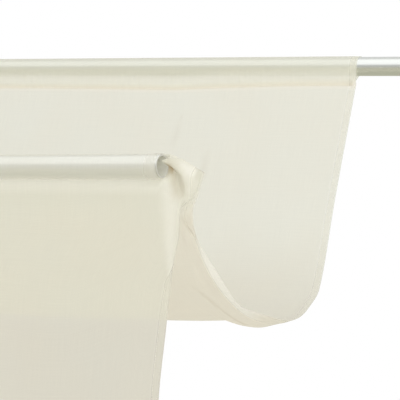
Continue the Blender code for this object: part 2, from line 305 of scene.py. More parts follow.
def makeAluminium(name, middle, tilt, halfLength):
    # Extruded tube, satin anodised: a soft grey metal with faint lines along its length
    # and a broad, blurred highlight; the bore and the cut end are raw and dull
    s = aluminiumSettings
    material, add = newMaterial(name)
    place = add("TexCoord").outputs["Object"]
    turn = Matrix.Rotation(tilt, 3, "Y")
    along = add("Mapping", {
        "Vector": place, "Location": tuple(-(turn @ middle)), "Rotation": (0.0, tilt, 0.0),
    }, vector_type="POINT")
    width, length = s["dieLineWidth"] * mm, s["dieLineLength"] * mm
    lines = add("Mapping", {"Vector": along, "Scale": (1 / length, 1 / width, 1 / width)})
    die = add("TexNoise", {"Vector": lines, "Scale": 1.0, "Detail": 3.0})
    patches = add("TexNoise", {"Vector": place, "Scale": 1 / (s["patchSize"] * mm), "Detail": 3.0})
    rough = s["roughness"]
    for source, share in ((die, "lineRoughness"), (patches, "patchRoughness")):
        rough = add("Math", {0: source, 1: s[share], 2: rough}, operation="MULTIPLY_ADD")
    tone = add("Mix", {0: die, 6: s["shade"], 7: s["colour"]}, data_type="RGBA")
    bump = add("Bump", {"Height": die, "Strength": s["lineRelief"], "Distance": s["lineDepth"] * mm})
    metal = add("BsdfPrincipled", {"Base Color": tone, "Metallic": 1.0, "Roughness": rough, "Normal": bump})
    # Inside the wall and on the cut the raw metal scatters light like a matt grey paint
    split = add("SeparateXYZ", {0: along})
    fromAxis = add("CombineXYZ", {1: split.outputs["Y"], 2: split.outputs["Z"]})
    radius = add("VectorMath", {0: fromAxis}, operation="LENGTH")
    inner = (tubeSettings["radius"] - tubeSettings["wall"] + s["boreReach"]) * mm
    inBore = add("Math", {0: radius, 1: inner}, operation="LESS_THAN")
    fromMiddle = add("Math", {0: split.outputs["X"]}, operation="ABSOLUTE")
    atEnd = add("Math", {0: fromMiddle, 1: halfLength - s["cutReach"] * mm}, operation="GREATER_THAN")
    isRaw = add("Math", {0: inBore, 1: atEnd}, operation="MAXIMUM")
    grey = add("Mix", {0: atEnd, 6: s["bore"], 7: s["cut"]}, data_type="RGBA")
    raw = add("BsdfPrincipled", {
        "Base Color": grey, "Metallic": 0.0, "Roughness": s["boreRoughness"], "Normal": bump,
    })
    both = add("MixShader", {0: isRaw, 1: metal, 2: raw})
    add("OutputMaterial", {"Surface": both})
    return material


# The cloth's line
panelSettings = {
    "width": 1.000, "endReach": 0.120, "columnWidth": 0.036, "drawIn": 0.8,  # metres; share
    "pocketLean": 28.0, "pocketSkew": 8.0, "clothOnTube": 13.5, "layerGap": 1.6,  # degrees, then mm
    "seamPlaces": (-0.500, 0.000, 0.230, 0.320, 0.410, 0.500),  # metres
    "seamDrops": (34.0, 33.5, 35.0, 31.0, 28.0, 27.5),          # mm below the tube's axis
    "turnIn": 8.0, "turnUnder": 1.2,  # mm of the pocket's folded edge above and below the seam
    # The folded edge from its raw end down to the seam, then round its fold: shares of the lengths
    # above, and of half the layers' gap behind the seam
    "edgeRun": (1.0, 0.8, 0.6, 0.4, 0.2, 0.0), "edgeBehind": 0.1,
    "edgeFold": ((0.8, 0.25), (1.0, 0.6), (0.6, 0.95)),
    "sag": 0.050, "sagReach": 0.500, "sagStart": 0.470,         # metres
    "foldDepth": 0.010, "foldWidth": 0.155, "foldStart": -0.200, "hemHeight": -0.715,  # metres
    "foldWaves": ((0.75, 1.0, 0.0), (0.35, 0.43, 1.3)),  # share of the depth, waves to each foldWidth, start
    "sideHem": 10.0, "bottomHem": 22.0, "hemGap": 0.45,         # mm
    "sideStitch": 0.9, "bottomStitch": 0.93,                    # shares of the hem's width
    "hemLine": (0.92, 1.08),  # the hem's mark round its inner line, where it is 1; it is 2 at the edge
    # Share of hemGap between the right hem's layers: all along, more in looseRun, less at the pinch
    "closeHem": 0.45, "looseHem": 0.35, "pinch": 0.42, "pinchAt": 853.0, "pinchReach": 30.0,
    # How much paler or warmer the hems, the rising cloth, the pocket below the tube and the
    # turned-in edge look, and how much of the layers' thinning the cloth round the tube has.
    # On the rising cloth and on the pocket below the tube the paler tone is painted light.
    "hemTone": 0.15, "riseTone": 0.50, "pocketTone": 0.45, "turnInTone": 0.6, "tubeStretch": 0.28,
    # Runs down the cloth from the seam, in mm: starts, is full and, if it ends, begins to end, has ended
    "looseRun": (380, 440, 800, 830), "crescent": (410, 490, 610, 650), "riseRun": (345, 435, 650, 690),
    "turnInRun": (-5.5, -3.5, 0.5, 2.0), "belowTube": (-20, -17), "aroundTube": (-19, -25),
    "gatherReach": 45.0,              # mm below the seam with the closer columns
    # How finely the grid is divided: rows for each step, then columns for each span of the end
    # folds, of the blend beside them and of the plain cloth, and those kept below the gathers
    "finer": 4, "stripSteps": 5, "blendSteps": 9, "plainSteps": 16, "lowerBlend": 3, "lowerPlain": 4,
    "endBlendColumns": 4, "pocketSteps": 34,
}

# Each row is a bend of the cloth's line from the pocket's seam to the hem. y and z in mm where
# the plain cloth lies at X = 470; in rows with tube = 1 they count from the front tube's axis.
# slide, strip, blend: how the right-hand edge is drawn along and how wide its end folds are.
hangColumns = ("name", "y", "z", "sag", "tube", "slide", "strip", "blend", "steps")
hangRows = (
    ("backHigh", -39, -82, 0.10, 0, 0, 30, 90, 2),
    ("backMiddle", -81, -181, 0.45, 0, 0, 30, 90, 2),
    ("backLow", -122, -280, 0.90, 0, 0, 30, 90, 2),
    ("backBend", -149, -301, 1.00, 0, 0, 30, 90, 1),
    ("swagBack", -176, -308.5, 0.95, 0, 0, 30, 60, 2),
    ("swagBottom", -205, -309.5, 0.95, 0, 0, 30, 45, 2),
    ("swagFront", -237, -304.5, 0.95, 0, 0, 30, 45, 2),
    ("riseFoot", -277, -293, 0.92, 0, 0, 30, 45, 2),
    ("riseLow", -316, -280, 0.85, 0, 0, 30, 45, 2),
    ("riseMiddle", -355, -258, 0.70, 0, 0, 30, 45, 2),
    ("riseHigh", -389, -232, 0.50, 0, 0, 30, 60, 2),
    ("riseNeck", -413, -200, 0.25, 0, 4, 30, 60, 2),
    ("riseTop", 18.0, -60.0, 0, 1, 8, 30, 40, 2),
    ("riseTube", 14.8, -26.0, 0, 1, 12, 28, 12, 2),
    ("riseRear", 15.4, -2.5, 0, 1, 12, 28, 12, 1),
    ("riseShoulder", 14.6, 5.8, 0, 1, 12, 28, 12, 1),
    ("riseRidge", 10.4, 11.6, 0, 1, 12, 28, 12, 1),
    ("ridgeTop", 8.7, 12.1, 0, 1, 12, 28, 12, 1),
    ("fallRidge", 9.2, 10.3, 0, 1, 12, 28, 12, 1),
    ("fallShoulder", 12.9, 5.0, 0, 1, 12, 28, 12, 1),
    ("fallRear", 13.5, -2.8, 0, 1, 12, 28, 12, 1),
    ("fallUnder", 9.0, -11.6, 0, 1, 12, 28, 12, 1),
    ("fallSeam", 1.5, -14.6, 0, 1, 13, 26, 20, 1),
    ("fallTop", 0.5, -51.0, 0, 1, 14, 24, 40, 2),
    ("fallHigh", 0.0, -77.0, 0, 1, 10, 20, 40, 2),
    ("fallFold", 0.0, -99.0, 0, 1, -4, 11, 40, 1),
    ("fallTurn", 0.0, -124.0, 0, 1, -19, 3, 40, 1),
    ("fallOpen", -1.0, -166.0, 0, 1, -25, 3, 40, 2),
    ("fallMiddle", -3.0, -249.0, 0, 1, -35, 3, 40, 3),
    ("fallLow", -6.0, -400.0, 0, 1, -44, 3, 40, 3),
)
# The drooping right end: for each bend the cloth's edge, its hem line, the fold between
# and the crest beside it, in mm
endRows = {
    "backBend": ((500, -151, -299), (490, -151, -301), (480, -150, -303), (470, -149, -303)),
    "swagBack": ((500, -178, -308), (490, -178, -311), (480, -177, -313.5), (470, -176, -314.5)),
    "swagBottom": ((500, -211, -307), (490, -211, -311.5), (480, -209, -314.5), (470, -207, -317)),
    "swagFront": ((500, -250, -297), (490, -251, -304.5), (480, -245, -310.5), (470, -237, -313.8)),
    "riseFoot": ((500, -294, -284), (490, -295, -290), (480, -286, -298), (470, -276, -303)),
    "riseLow": ((500, -336, -269), (493, -333, -272), (480, -326, -279), (470, -315, -285)),
    "riseMiddle": ((500, -373, -238), (494, -374, -244), (480, -363, -252), (470, -354, -261)),
    "riseHigh": ((500, -404, -210), (495, -404, -216), (482, -395, -223), (473, -390, -232)),
    "riseNeck": ((500, -431, -182), (494, -425, -185), (485, -423, -190), (474, -415, -198)),
    "riseTop": ((501, -440, -156), (489, -437, -161), (483, -435, -163), (478, -433, -165)),
    "riseTube": ((501, -428, -137), (494, -428, -136), (487, -426, -134), (480, -424, -132)),
    "riseRear": ((502, -423, -125), (495, -425, -121), (488, -425, -117), (480, -421, -112)),
    "riseShoulder": ((503, -421, -120), (496, -424, -116), (489, -425, -112), (481, -422, -107)),
    "riseRidge": ((503, -419, -115), (496, -424, -110), (490, -428, -106), (484, -430, -102)),
    "ridgeTop": ((503, -420, -114), (496, -425, -109), (490, -430, -105), (483, -437, -100.5)),
    "fallRidge": ((503, -421, -115), (496, -426, -110), (490, -431, -106), (477, -447, -100.5)),
    "fallShoulder": ((502, -424, -121), (494, -430, -117), (488, -437, -112), (471.8, -455, -101.6)),
    "fallRear": ((501, -427, -128), (495, -434, -125), (490, -440, -121), (475, -432.5, -113)),
    "fallUnder": ((499, -431, -136), (496, -436, -136), (493, -441, -135), (480, -434, -128)),
    "fallSeam": ((495, -437, -146), (494, -440, -146), (492, -443, -145), (491, -448, -145)),
    "fallTop": ((467, -446, -167), (473, -446, -165), (481, -446, -162), (492, -452, -158)),
    "fallHigh": ((469, -447, -188), (475, -447, -188), (482, -448, -187), (490, -452, -185)),
    "fallFold": ((474, -448, -209), (477, -448, -209), (480, -449, -208), (485, -452, -207)),
    "fallTurn": ((477.5, -449.0, -232), (479.2, -448.8, -232), (480.6, -449.8, -232), (479.8, -451.4, -232)),
}
endSpans = len(endRows["fallTurn"]) - 1


def ease(share):
    share = np.clip(share, 0.0, 1.0)
    return share * share * (3.0 - 2.0 * share)


def towards(v, start, full):
    # 0 at start and 1 at full, with soft ends
    return ease((v - start) / (full - start))


def between(v, run):
    # 1 inside a run of four places, easing in and out at its ends
    start, full, fading, end = run
    return towards(v, start, full) * (1.0 - towards(v, fading, end))


def bell(distance, width):
    return np.exp(-(distance / width) ** 2)


def ripples(u, v, wobbled, waves):
    # Sum of waves: height, mm to the radian, lean down the cloth, wobble, its mm to the radian, start
    return sum(height * np.sin(u / reach + lean * v + wobble * np.sin(wobbled / wander) + start)
               for height, reach, lean, wobble, wander, start in waves)


def frontAxisHeight(x):
    return -tubeSettings["frontDrop"] + x * math.tan(math.radians(tubeSettings["frontTilt"]))


def swagSag(x):
    s = panelSettings
    return s["sag"] * (1.0 - math.exp(-max(s["sagStart"] - x, 0.0) / s["sagReach"]))


def plainPoint(row, across):
    s = panelSettings
    draw = 1.0 - s["drawIn"] * across / s["width"] if row["slide"] < 0 else 1.0
    x = s["width"] / 2 - across + row["slide"] * mm * draw
    if row["tube"]:
        return np.array((x, -tubeSettings["frontAhead"] + row["y"] * mm, frontAxisHeight(x) + row["z"] * mm))
    return np.array((x, row["y"] * mm, row["z"] * mm - row["sag"] * swagSag(x)))


def bendPoint(row, column):
    # Where a bend lies at a column, and how far that is from the right edge on the flat cloth
    kind, amount = column
    strip, corners = row["strip"] * mm, endRows.get(row["name"])
    if kind == "strip":
        across = strip * amount / endSpans
        return (np.array(corners[amount]) * mm if corners else plainPoint(row, across)), across
    across = strip + row["blend"] * mm * amount if kind == "blend" else amount
    point = plainPoint(row, across)
    if corners and kind == "blend":
        point = point + (np.array(corners[-1]) * mm - plainPoint(row, strip)) * (1.0 - ease(amount))
    return point, across


def lengths(ways):
    return np.linalg.norm(ways, axis=-1, keepdims=True)


def smoothAlong(points, steps):
    # Rounded lines through points[i], all of them at once, with steps[i] parts to each span
    out, last = [points[0]], len(points) - 1
    for i in range(last):
        before, start, end, after = points[max(i - 1, 0)], points[i], points[i + 1], points[min(i + 2, last)]
        span = lengths(end - start)
        into = (end - before) * (span / np.maximum(span + lengths(start - before), 1e-9))
        away = (after - start) * (span / np.maximum(lengths(after - end) + span, 1e-9))
        for step in range(1, steps[i] + 1):
            t = step / steps[i]
            out.append(start * (2 * t**3 - 3 * t**2 + 1) + into * (t**3 - 2 * t**2 + t)
                       + end * (3 * t**2 - 2 * t**3) + away * (t**3 - t**2))
    return np.array(out)


def evenAlong(values, steps):
    # Straight steps between values[i], for the flat cloth's own measure
    out = [values[0]]
    for start, end, parts in zip(values, values[1:], steps):
        out += [start + (end - start) * step / parts for step in range(1, parts + 1)]
    return np.array(out)


def pocketRun(x):
    # From the edge turned in above the seam, down to it, up behind the tube and over to the front
    s = panelSettings
    lean = math.radians(s["pocketLean"])
    drop = np.interp(x, s["seamPlaces"], s["seamDrops"]) * mm
    down = np.array((0.0, -math.sin(lean), -math.cos(lean)))
    behind = np.array((0.0, math.cos(lean), -math.sin(lean)))
    axis = np.array((x, 0.0, 0.0))
    seam = axis + down * drop
    half, under, turnIn = s["layerGap"] * mm / 2, s["turnUnder"] * mm, s["turnIn"] * mm
    run = [seam - down * turnIn * share + behind * half * s["edgeBehind"] for share in s["edgeRun"]]
    run += [seam + down * under * low + behind * half * back for low, back in s["edgeFold"]]
    radius = s["clothOnTube"] * mm
    openAngle = math.acos(radius / drop)
    angles = np.linspace(openAngle, math.tau - openAngle, s["pocketSteps"] + 1)
    loop = [axis + radius * (down * math.cos(angle) + behind * math.sin(angle)) for angle in angles]
    foot, frontFoot = seam + behind * half, seam - behind * half
    run += [foot + (loop[0] - foot) * share for share in (0.0, 0.2, 0.4, 0.6, 0.8)] + loop
    run += [loop[-1] + (frontFoot - loop[-1]) * share for share in (0.2, 0.4, 0.6, 0.8, 1.0)]
    run = np.array(run)
    # The pocket is sewn a little skewed, so its inner layer lies further left
    halfWay = len(run) // 2
    for i in range(halfWay):
        run[i][0] -= s["pocketSkew"] * mm * (halfWay - i) / halfWay
    return run


def fallFold(x, z):
    # Upright folds of the free fall, which start flat and deepen downwards
    s = panelSettings
    depth = s["foldDepth"] * towards(z, s["foldStart"], s["hemHeight"])
    turn = math.tau * (s["width"] / 2 - x) / s["foldWidth"]
    return depth * sum(share * np.sin(often * turn + start) for share, often, start in s["foldWaves"])


def panelGrid():
    # The whole panel as a grid: columns from the right edge, rows from the pocket to the hem
    s = panelSettings
    rows = [dict(zip(hangColumns, row)) for row in hangRows]
    blends, rest = s["endBlendColumns"], s["width"] - s["endReach"]
    count = round(rest / s["columnWidth"])
    columns = [("strip", i) for i in range(endSpans + 1)]
    columns += [("blend", i / blends) for i in range(1, blends + 1)]
    columns += [("plain", s["endReach"] + rest * i / count) for i in range(1, count + 1)]
    bends, acrosses, pockets = [], [], []
    for column in columns:
        points, measures = zip(*(bendPoint(row, column) for row in rows))
        pocket = pocketRun(points[0][0])
        hem = np.array((points[-1][0], points[-1][1], s["hemHeight"]))
        bends.append([pocket[-1], *points, hem])
        acrosses.append([measures[0], *measures, measures[-1]])
        pockets.append(pocket)
    rowSteps = [2 * s["finer"]] + [row["steps"] * s["finer"] for row in rows]
    hang = smoothAlong(np.array(bends).swapaxes(0, 1), rowSteps)     # rows, columns, 3
    across = evenAlong(np.array(acrosses).swapaxes(0, 1), rowSteps)
    names = [row["name"] for row in rows]
    fallStart = sum(rowSteps[:names.index("fallTop") + 1])
    hang[fallStart:, :, 1] += fallFold(hang[fallStart:, :, 0], hang[fallStart:, :, 2])
    pocket = np.array(pockets).swapaxes(0, 1)
    grid = np.concatenate([pocket, hang[1:]])
    flat = np.concatenate([np.repeat(across[:1], len(pocket), axis=0), across[1:]])
    # Closer columns, and those of them that go on below the gathers
    sideways, keep = [], [0]
    for spans, parts, kept in ((endSpans, s["stripSteps"], s["stripSteps"]),
                               (blends, s["blendSteps"], s["lowerBlend"]),
                               (count, s["plainSteps"], s["lowerPlain"])):
        sideways += [parts] * spans
        keep += [keep[-1] + step * parts // kept for step in range(1, spans * kept + 1)]
    grid = smoothAlong(grid.swapaxes(0, 1), sideways)                 # columns, rows, 3
    flat = evenAlong(flat.swapaxes(0, 1), sideways)
    downFlat = walked(grid)
    seamRow = len(pocket) - 1
    downFlat -= downFlat[:, seamRow:seamRow + 1]                      # 0 at the pocket's seam
    rowOf = {"seam": seamRow, "hem": grid.shape[1] - 1}
    for i, name in enumerate(names):
        rowOf[name] = seamRow + sum(rowSteps[:i + 1])
    return grid, flat, downFlat, keep, rowOf


def walked(grid):
    # How far each point is along its column, in metres
    steps = lengths(np.diff(grid, axis=1))[..., 0]
    return np.concatenate([np.zeros((len(grid), 1)), np.cumsum(steps, axis=1)], axis=1)


def gridNormals(grid):
    # Unit normals, on the side that faces the room on the hanging back sheet
    sideways = np.gradient(grid, axis=0)
    downwards = np.gradient(grid, axis=1)
    normals = np.cross(sideways, downwards)
    return normals / np.maximum(lengths(normals), 1e-12)


def strokeField(grid, rowOf, stroke):
    # A stroke's size on its line, less beside it and towards its ends
    (top, bottom), widths, size, (fadeIn, fadeOut), edge, line = stroke
    first, last = rowOf[top], rowOf[bottom]
    places = grid[:, first:last + 1] / mm
    line = [np.array(p, float) for p in line]
    widths = widths if isinstance(widths, tuple) else (widths,) * len(line)
    total = sum(np.linalg.norm(b - a) for a, b in zip(line, line[1:]))
    nearest, along, passed = np.full(places.shape[:2], 1e9), np.zeros(places.shape[:2]), 0.0
    for a, b, start, end in zip(line, line[1:], widths, widths[1:]):
        length = np.linalg.norm(b - a)
        share = np.clip((places - a) @ (b - a) / length**2, 0.0, 1.0)
        width = start + (end - start) * share
        reach = np.linalg.norm(places - a - share[..., None] * (b - a), axis=2) / width
        along = np.where(reach < nearest, (passed + share * length) / total, along)
        nearest = np.minimum(nearest, reach)
        passed += length
    ends = ease(along / max(fadeIn, 1e-3)) * ease((1.0 - along) / max(fadeOut, 1e-3))
    field = np.zeros(grid.shape[:2])
    field[:, first:last + 1] = size * (ends * np.exp(-nearest ** edge))
    return field


def strokeSum(grid, rowOf, strokes):
    return sum(strokeField(grid, rowOf, stroke) for stroke in strokes)


# Strokes placed on the cloth. Each has the bends between which it lies, its half width in
# mm, at each point where it changes, its size, the shares of its line over which it fades in and
# out, how sharp its sides are, and its line in mm.
backRows, fallRows, tipRows = ("seam", "backLow"), ("fallTop", "hem"), ("swagBottom", "riseHigh")
endRun, softly, atTip = ("ridgeTop", "fallTop"), (0.35, 0.35), (0.3, 0.15)
tipCrease = ((456, -380, -242), (463, -372, -248), (467, -363, -255), (470, -349, -264), (472, -332, -275),
             (474, -314, -286), (475, -290, -298), (475, -262, -308))
leftPull = ((247, -30, -56), (244, -41, -87), (243, -54, -117))
rightPull = ((302, -46, -100), (298, -60, -132), (298, -65, -144), (294, -72, -159), (291, -83, -185))
# Creases, whose size is the height in mm towards the side that faces the room on the back sheet:
# the one that ends in the swag's lowest corner, pulls in the back sheet, two in the fall
handCreases = (
    (tipRows, 2.4, -1.2, atTip, 2, tipCrease),
    (backRows, 3.0, 2.2, softly, 2, leftPull),
    (backRows, 2.8, 2.7, softly, 2, ((302, -28, -52), *rightPull)),
    (backRows, 5.0, 1.6, softly, 2, ((317, -25, -41), (326, -52, -112), (344, -96, -216))),
    (backRows, 4.0, 1.2, softly, 2, ((422, -70, -155), (436, -99, -224), (445, -119, -273))),
    (fallRows, 2.2, -0.9, softly, 2, ((266, -453, -326), (278, -453, -319), (292, -453, -315))),
    (fallRows, 2.2, -0.8, softly, 2, ((397, -453, -358), (423, -453, -348), (449, -453, -336))),
)
# Painted shade, warmer and darker, in deep places where shade falls: the pit beside the rod's mouth,
# the valley below it, the neck, the two sharper pulls and the corner's crease
paintedShades = (
    (endRun, (3.0, 4.8, 6.0, 5.2, 3.0), 0.95, (0.1, 0.3), 2,
     ((472, -449, -104), (473, -445, -106), (474, -440, -109), (475.5, -435, -112), (477, -434, -114.5))),
    (endRun, (6.5, 9.0, 10.0, 10.5, 9.0, 7.0, 4.0), 0.24, (0.1, 0.3), 4,
     ((475, -433, -113), (478, -434, -118), (480, -436, -123), (482, -440, -130), (484, -443, -136),
      (486, -446, -143), (486, -448, -149))),
    (("riseFoot", "riseTube"), 2.6, 0.15, (0.2, 0.1), 2,
     ((483, -435, -159), (489, -434, -171), (493, -429, -179), (499, -428, -185))),
    (backRows, 2.5, 0.11, softly, 2, leftPull),
    (backRows, 2.5, 0.15, softly, 2, rightPull),
    (tipRows, 2.0, 0.26, atTip, 2, tipCrease),
)
# Painted light, on places that catch more light, some of them where the cloth also lies double over itself:
# a band under the front tube that lifts its shade, down the fall's right edge, over the end's top and down
# the drooping flap
paintedLights = (
    (("fallUnder", "fallHigh"), 7.0, 1.0, (0, 0), 2, ((466, -450, -124), (-500, -450, -158))),
    (("fallUnder", "fallOpen"), (2.0, 6.5, 7.5, 9.5, 10.5, 9.5, 8.5, 7.5, 5.5, 3.5, 2.0), 0.55,
     (0.1, 0.1), 2.6,
     ((466, -449, -112), (470, -449, -122), (474, -449, -131), (479, -450, -141), (480, -451, -153),
      (481, -452, -164), *((480, -452, height) for height in (-178, -191, -204, -219, -232)))),
    (("riseRidge", "fallUnder"), (4.0, 5.0, 5.0, 5.5, 6.0, 6.0), 1.0, (0.02, 0.02), 2,
     ((463, -443, -97), (472, -440, -100), (478, -437, -103), (486, -435, -107), (491, -432, -111),
      (498, -426, -115))),
    (endRun, (5.0, 8.5, 9.0, 7.5, 5.0), 0.35, (0.1, 0.2), 4,
     ((488, -437, -112), (493, -434, -119), (496, -432, -126), (496, -435, -133), (494, -439, -139))),
)


gatherSettings = {
    "height": 0.95, "raised": 0.75,        # mm; share by which the waves' middle stands off the cloth
    "pocketRun": (-27.0, -19.0), "fallOff": 13.0,  # mm from the seam
    "seamPinch": 0.75, "pinchReach": 3.0,  # share; mm
    # The gathers come in patches: shares, and waves with their mm to the radian and start
    "patchMiddle": 0.55, "patchSwing": 0.45, "patchWaves": ((53.0, 0.8), (19.0, 2.1)),
    "hangRun": (20.0, 140.0),              # mm; the run in which the free cloth's waves grow
    "slackWave": (88.0, 0.6),              # mm to the radian, start: how its slack varies across
}
# Height, wavelength (mm), slant, wobble, its mm to the radian, start
gatherWaves = (
    (0.50, 14.3, 1.7, 1.9, 41.0, 0.0),
    (0.34, 9.1, 1.7, 1.3, 27.0, 2.0),
    (0.28, 23.7, 0.4, 0.0, 1.0, 0.7),
)
# The hanging cloth's upright waves, and its slack down the cloth, with the columns that ripples names
slackWaves = ((0.30, 47.0, 0.0, 1.2, 71.0, 0.0),)
hangWaves = (
    (0.50, 31.0, 0.0, 0.4, 190.0, 0.5),
    (0.38, 17.3, 1 / 260, 0.0, 1.0, 1.7),
    (0.25, 9.7, -1 / 150, 0.0, 1.0, 3.1),
)


def gatherField(flat, down):
    # Fine slanted gathers on the pocket and just under its seam, in patches a few cm wide
    s, u, v = gatherSettings, flat / mm, down / mm
    wave = sum(height * np.sin(math.tau * (u - slant * v) / length + wobble * np.sin(u / wander) + start)
               for height, length, slant, wobble, wander, start in gatherWaves)
    swings = np.prod([np.sin(u / reach + start) for reach, start in s["patchWaves"]], axis=0)
    patch = s["patchMiddle"] + s["patchSwing"] * swings
    onPocket = towards(v, *s["pocketRun"]) * (v < 0)
    below = (v >= 0) * np.exp(-np.maximum(v, 0.0) / s["fallOff"])
    height = s["height"] * (wave + s["raised"]) * patch * (onPocket + below)
    return np.maximum(height * (1.0 - s["seamPinch"] * bell(v, s["pinchReach"])), 0.0) * mm


def unevenField(flat, down):
    # Slight unevenness of cloth that hangs free: long soft upright waves and a little slack
    s, u, v = gatherSettings, flat / mm, down / mm
    reach, start = s["slackWave"]
    slack = ripples(v, u, u, slackWaves) * np.sin(u / reach + start)
    return (ripples(u, v, v, hangWaves) + slack) * towards(v, *s["hangRun"]) * mm


# A turned hem from its raw edge, between the layers, out to the hem line and back over to the
# cloth's edge: share of the hem's width from the edge, and layers behind the cloth
hemTurns = ((0.15, 1.0), (0.40, 1.0), (0.70, 1.0), (0.96, 1.0), (1.00, 1.5),
            (0.96, 2.0), (0.65, 2.0), (0.35, 2.0), (0.10, 2.0), (0.00, 1.2))


def readAt(values, measure, at):
    # Values, or places, along a line at one distance from the edge
    if values.ndim == 3:
        return np.stack([readAt(values[..., axis], measure, at) for axis in range(3)], axis=1)
    inFromEdge = np.abs(measure - measure[:1])
    return np.array([np.interp(at, inFromEdge[:, j], values[:, j]) for j in range(values.shape[1])])


def turnHem(cloth, measure, width, gap):
    # Adds the hem's layers as extra lines before the cloth's first one, read off the cloth itself
    points, flat, down, normals, hem, paintedShade, paintedLight = cloth
    inFromEdge = np.abs(measure - measure[:1])
    hem = np.maximum(hem, 2.0 - inFromEdge / width)      # 2 at the edge, 1 at the hem's inner line
    cloth = (points, flat, down, normals, hem, paintedShade, paintedLight)
    lines = []
    for share, layers in hemTurns:
        place, across, along, normal, *marks = (readAt(part, measure, share * width) for part in cloth)
        place = place - layers * np.reshape(gap, (-1, 1)) * normal
        lines.append((place, across, along, normal, *marks))
    return tuple(np.concatenate([np.array(new), old]) for new, old in zip(zip(*lines), cloth))


def hemShare(hem):
    # 1 on a hem and 0 beside it, changing at the hem's inner line
    return towards(hem, *panelSettings["hemLine"])


def turned(cloth, swap=False, flip=False):
    # The same cloth seen with its rows as columns or from the other end
    arrays = [a.swapaxes(0, 1) if swap else a for a in cloth]
    return tuple(a[::-1] if flip else a for a in arrays)


def clothMesh(name, cloth, hemsAndPaintedLight, doubledAndPaintedGlow, stretched, keep=None, closeRows=0):
    # Faces between neighbouring columns and rows; below closeRows only the kept columns go on
    points, flat, down, _, hem, paintedShade, _ = cloth
    count, rows = flat.shape
    keep = list(range(count)) if keep is None else keep
    isUsed = np.zeros((count, rows), bool)
    isUsed[:, :closeRows + 1] = True
    isUsed[keep] = True
    used = np.nonzero(isUsed)
    number = np.zeros((count, rows), int)
    number[used] = range(len(used[0]))
    number = number.tolist()
    faces = []
    for r in range(rows - 1):
        across = list(range(count)) if r < closeRows else keep
        for c, d in zip(across, across[1:]):
            upper = range(c, d + 1) if r == closeRows else (c, d)
            faces.append((*(number[k][r] for k in upper), number[d][r + 1], number[c][r + 1]))
    mesh = bpy.data.meshes.new(name)
    mesh.from_pydata(points[used].tolist(), [], faces)
    layer = mesh.uv_layers.new(name="flatCloth")
    corners = np.empty(len(mesh.loops), int)
    mesh.loops.foreach_get("vertex_index", corners)
    flatPlaces = np.stack([flat[used], -down[used]], axis=1)
    layer.data.foreach_set("uv", flatPlaces[corners].astype(np.float32).ravel())
    marks = {"layered": hem, "hem": hemsAndPaintedLight, "doubledAndPaintedGlow": doubledAndPaintedGlow, "paintedShade": paintedShade, "stretched": stretched}
    for key, values in marks.items():
        mark = mesh.attributes.new(key, "FLOAT", "POINT")
        mark.data.foreach_set("value", values[used].astype(np.float32))
    mesh.shade_smooth()
    mesh.update()
    return mesh


def makePanel(material):
    s = panelSettings
    grid, flat, down, keep, rowOf = panelGrid()
    normals = gridNormals(grid)
    lift = gatherField(flat, down) + unevenField(flat, down) + strokeSum(grid, rowOf, handCreases) * mm
    grid = grid + normals * lift[..., None]
    normals = gridNormals(grid)
    # Painted shade and painted light, laid on the cloth as strokes
    paintedShade, paintedLight = (np.clip(strokeSum(grid, rowOf, strokes), 0.0, 1.0)
                    for strokes in (paintedShades, paintedLights))
    cloth = (grid, flat, down, normals, np.zeros_like(flat), paintedShade, paintedLight)
    last = turned(cloth, swap=True, flip=True)
    sideStitch, bottomStitch = s["sideStitch"] * s["sideHem"] * mm, s["bottomStitch"] * s["bottomHem"] * mm
    stitchLines = [
        readAt(grid, flat, sideStitch),
        readAt(grid[::-1], flat[::-1], sideStitch),
        grid[:, rowOf["seam"]],
        readAt(last[0], last[2], bottomStitch),
    ]
    # Bottom hem, then the side hems over it
    cloth = turned(turnHem(last, last[2], s["bottomHem"] * mm, s["hemGap"] * mm), flip=True)
    cloth = turned(cloth, swap=True)
    # The right hem's layers lie close, and a little further apart where the end is folded
    v = cloth[2][0] / mm
    gaps = s["closeHem"] + s["looseHem"] * between(v, s["looseRun"])
    gaps -= s["pinch"] * bell(v - s["pinchAt"], s["pinchReach"])
    right = turnHem(cloth, cloth[1], s["sideHem"] * mm, s["hemGap"] * mm * gaps)
    left = turned(right, flip=True)
    both = turned(turnHem(left, left[1], s["sideHem"] * mm, s["hemGap"] * mm), flip=True)
    turns = len(hemTurns)
    kept = [*range(turns), *(turns + k for k in keep), *range(turns + len(flat), turns * 2 + len(flat))]
    closeRows = int(np.argmax(down[len(down) // 2] > s["gatherReach"] * mm))
    # Hems look whiter along the crescent of the swag's right edge, and hardly differ elsewhere;
    # along the crescent that is painted light, for the light that the rolled hem catches.
    # The painted light strokes and the painted light on the pocket below the tube go into the same mark.
    v = both[2] / mm
    crescent = between(v, s["crescent"])
    hems = hemShare(both[4])
    # Painted light that lifts the pocket's tone below the back tube
    belowTube = s["pocketTone"] * towards(v, *s["belowTube"]) * (v < 0)
    hemsAndPaintedLight = np.maximum.reduce([hems * (s["hemTone"] + (1.0 - s["hemTone"]) * crescent), both[6], belowTube])
    # The pocket's edge is turned in just above the seam, where its layers look warmer; on the cloth that
    # rises behind the fall the same warm paler tone is painted light, for the glow of light that passes
    # through it from above
    doubledAndPaintedGlow = s["turnInTone"] * between(v, s["turnInRun"])
    doubledAndPaintedGlow += s["riseTone"] * between(v, s["riseRun"]) * (1.0 - hems * crescent)
    # Stretched round the tube, the threads lie further apart, so more of the metal shows through
    onTube = s["tubeStretch"] * towards(v, *s["aroundTube"])
    mesh = clothMesh("panelCloth", both, hemsAndPaintedLight, doubledAndPaintedGlow, onTube, kept, closeRows)
    seamToHem = float(np.mean(down[:, -1] - down[:, 0]))
    return newObject("panelCloth", mesh, material), stitchLines, seamToHem


